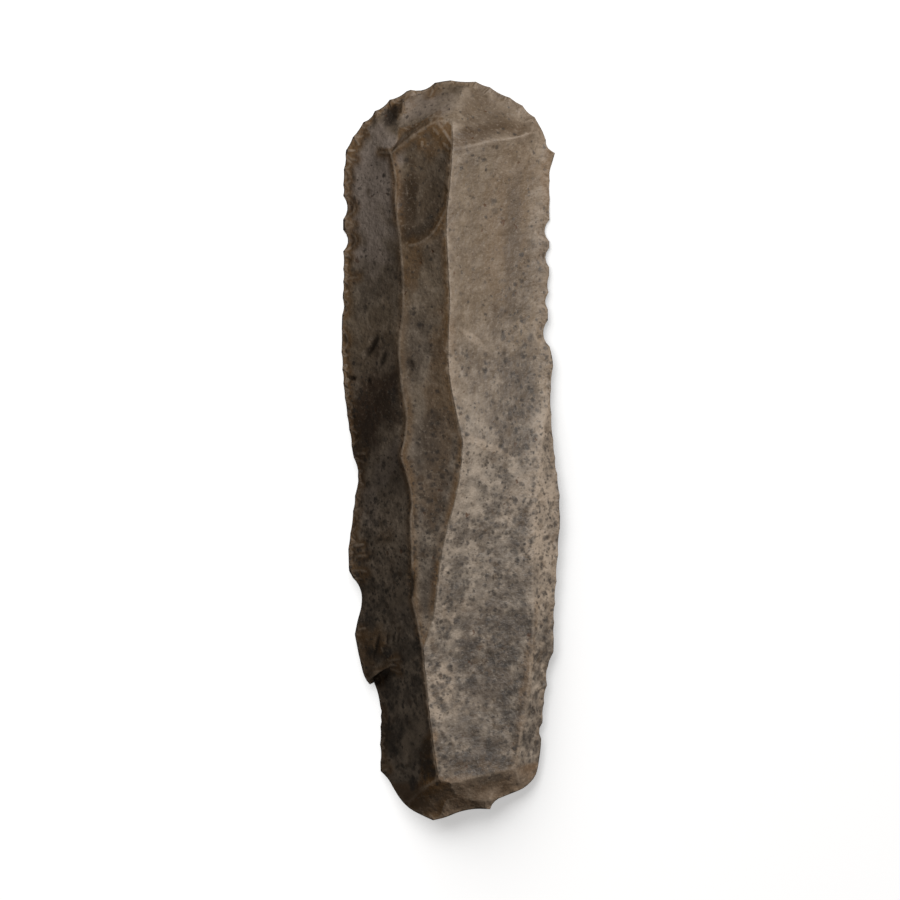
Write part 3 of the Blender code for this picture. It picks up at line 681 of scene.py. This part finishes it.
def speckled(s, colour):
    """Dark and brown specks of several sizes and smudges between them, thickest at the butt."""
    clumps = s.noise(0.17, 3, s.stretched(shift=(12, 1, 3))) - 0.49
    right = s.x.between(3.0, 10.0) * s.y.between(30.0, 14.0)
    share = s.toward_butt * 0.50 + right * 0.25 + clumps * (s.toward_butt * 2.2 + 0.8) + 0.02 - s.bare * 0.7
    foot = s.y.between(-12.0, -30.0)
    blotches = s.noise(0.36, 4, s.stretched(shift=(8, 2, 1)), roughness=0.52).between(0.45, 0.61)
    smudged = blotches * ((share + foot * 0.25) * 1.5).clamped()
    colour = s.layer(colour, SPECK, smudged * (foot * 0.36 + 0.26))
    large = s.spots(2.1, share + foot * 0.22, 0.33, 0.20, shift=51.0) * (foot * 0.62 + 0.24)
    colour = s.layer(colour, SPECK, large)
    colour = s.layer(colour, BROWN, s.spots(1.5, share + 0.06, 0.32, 0.20, shift=7.0) * 0.62)
    colour = s.layer(colour, SPECK, s.spots(1.3, share, 0.34, 0.18) * 0.88)
    colour = s.layer(colour, SPECK, s.spots(0.85, share + 0.16, 0.33, 0.16, shift=17.0) * 0.85)
    return s.layer(colour, SPECK, s.spots(0.55, share + 0.10 - foot * 0.25, 0.33, 0.16, shift=29.0) * 0.80)


def worn_shaded_and_rusty(s, colour):
    """A pale line along each ridge, painted shade in the hollows and the scars, and rusty dots."""
    crest, line = s.kept("crest"), (s.kept("from_ridge") + s.kept("softened")).between(0.34, 0.04)
    strength = s.kept("leans").between(0.10, -0.15) * 0.45 + 0.40
    pale = line.maths("MAXIMUM", crest.between(0.03, 0.12) * 0.8) * (s.patchy * 1.6 - 0.20)
    colour = s.layer(colour, CREAM, pale.clamped() * strength)
    # Painted shade: darker where the surface dips below its neighbours and in the sunk scars
    painted_hollow_shade = (crest.between(-0.03, -0.14) * 0.5).maths("MAXIMUM", s.kept("scarred") * 0.8)
    colour = s.layer(colour, PAINTED_SHADE, painted_hollow_shade)
    return s.layer(colour, RUST, s.rust.maths("MAXIMUM", s.tiny_rust * 0.6) * 0.85)


def grainy(s, colour):
    """Light and dark grains, each finer than a millimetre."""
    grain = s.noise(2.2, 4, roughness=0.65)
    colour = s.layer(colour, LIGHT_CLOUD, grain.between(0.52, 0.70) * 0.28)
    return s.layer(colour, DARK_CLOUD, grain.between(0.48, 0.30) * 0.45)


def flint():
    s = Stone(flint_material)
    s.patchy = s.noise(0.35, 3, s.stretched(shift=(5, 50, 9)))
    s.toward_butt = s.y.between(24.0, -16.0)
    s.butt = (s.y - s.x * 0.15).between(-45.7, -46.6)
    s.bare = s.butt.maths("MAXIMUM", s.patch(-11.4, -28.4, 9.0, 5.0, 62) * 0.8)
    s.rust = s.spots(2.3, 0.55, 0.10, 0.04, shift=41.0)
    s.tiny_rust = s.spots(1.1, 0.40, 0.13, 0.05, shift=63.0)
    colour = body_colour(s)
    for step in (patched, stains_shade_and_highlight, speckled, worn_shaded_and_rusty, grainy):
        colour = step(s, colour)
    s.tree.links.new(colour.socket, s.shader.inputs["Base Color"])

    rough = (s.noise(0.7, 3) - 0.5) * 0.25 + 0.52
    s.tree.links.new(rough.socket, s.shader.inputs["Roughness"])
    s.shader.inputs["Specular IOR Level"].default_value = 0.30

    lit = s.kept("leans").between(-0.30, 0.20) * 0.4 + 0.6
    surface = (s.noise(0.7, 4, roughness=0.55) * 0.34 + s.noise(3.0, 3, roughness=0.7) * 0.045) * lit
    height = (surface - s.rust * 0.05 - s.tiny_rust * 0.03) * MM
    bump = s.add("ShaderNodeBump", {}, {"Height": height, "Strength": 1.0, "Distance": 1.0})["Normal"]
    s.tree.links.new(bump.socket, s.shader.inputs["Normal"])


flint()
stone.data.shade_smooth()
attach(stone, "root")
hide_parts("flint_blade")
print("flint:", len(flint_material.node_tree.nodes), "nodes in", [m.name for m in stone.data.materials])

# %% [markdown]
# ## Table, light and camera
#
# The stone lies on a plain white table, seen from straight above. One soft lamp at the upper
# right rakes over the ridges, so their right sides are bright and their left sides dark. A
# second lamp lights only the table, from the upper left, and gives the faint shadow at the
# lower right. Light linking says which lamp reaches what.


# %% The white table
def plain_material(name, colour, roughness, glow):
    material = bpy.data.materials.new(name)
    material.use_nodes = True
    shader = material.node_tree.nodes["Principled BSDF"]
    shader.inputs["Base Color"].default_value = colour
    shader.inputs["Roughness"].default_value = roughness
    shader.inputs["Specular IOR Level"].default_value = 0.1
    shader.inputs["Emission Color"].default_value = (1, 1, 1, 1)
    shader.inputs["Emission Strength"].default_value = glow
    return material


HALF_TABLE = 3.0
corners = [(x * HALF_TABLE, y * HALF_TABLE, 0) for x, y in ((-1, -1), (1, -1), (1, 1), (-1, 1))]
table_mesh = bpy.data.meshes.new("table")
table_mesh.from_pydata(corners, [], [(0, 1, 2, 3)])
table_mesh.materials.append(plain_material("white table", (0.9, 0.9, 0.9, 1), 0.8, 0.45))
table = bpy.data.objects.new("table", table_mesh)
bpy.context.scene.collection.objects.link(table)
table.location.z = -0.02 * MM
table.visible_diffuse = table.visible_glossy = False


# %% Lamps
def lamp(name, towards, distance, size, power, lights):
    """A square lamp that looks at the stone from a direction, and lights only one object."""
    light = bpy.data.lights.new(name, "AREA")
    light.shape, light.size, light.energy = "SQUARE", size, power
    made = bpy.data.objects.new(name, light)
    bpy.context.scene.collection.objects.link(made)
    direction = Vector(towards).normalized()
    made.location = direction * distance
    made.rotation_euler = direction.to_track_quat("Z", "Y").to_euler()
    only = bpy.data.collections.new(name)
    only.objects.link(lights)
    made.light_linking.receiver_collection = only
    return made


lamp("key for the stone", (0.44, 0.30, 0.48), 0.6, 0.22, 3.4, stone)
lamp("light on the table", (-0.56, 0.90, 1.0), 1.0, 1.1, 11.7, table)
world = bpy.data.worlds.new("studio")
world.use_nodes = True
world.node_tree.nodes["Background"].inputs["Color"].default_value = (1.0, 0.93, 0.86, 1)
world.node_tree.nodes["Background"].inputs["Strength"].default_value = 0.10
bpy.context.scene.world = world
bpy.context.scene.view_settings.view_transform = "Standard"

# %% [markdown]
# The camera stands far off with a long lens, as one does for a catalogue picture, so that
# the stone shows its true outline.

# %% Camera
VIEW_WIDTH = 127.7 * MM
STAND_OFF = 0.9
SENSOR = 36
camera = bpy.data.objects.new("camera", bpy.data.cameras.new("camera"))
camera.data.sensor_width = SENSOR
camera.data.lens = SENSOR * STAND_OFF / VIEW_WIDTH
camera.location = (-0.1 * MM, -0.07 * MM, STAND_OFF + 1.5 * MM)
bpy.context.scene.collection.objects.link(camera)
bpy.context.scene.camera = camera
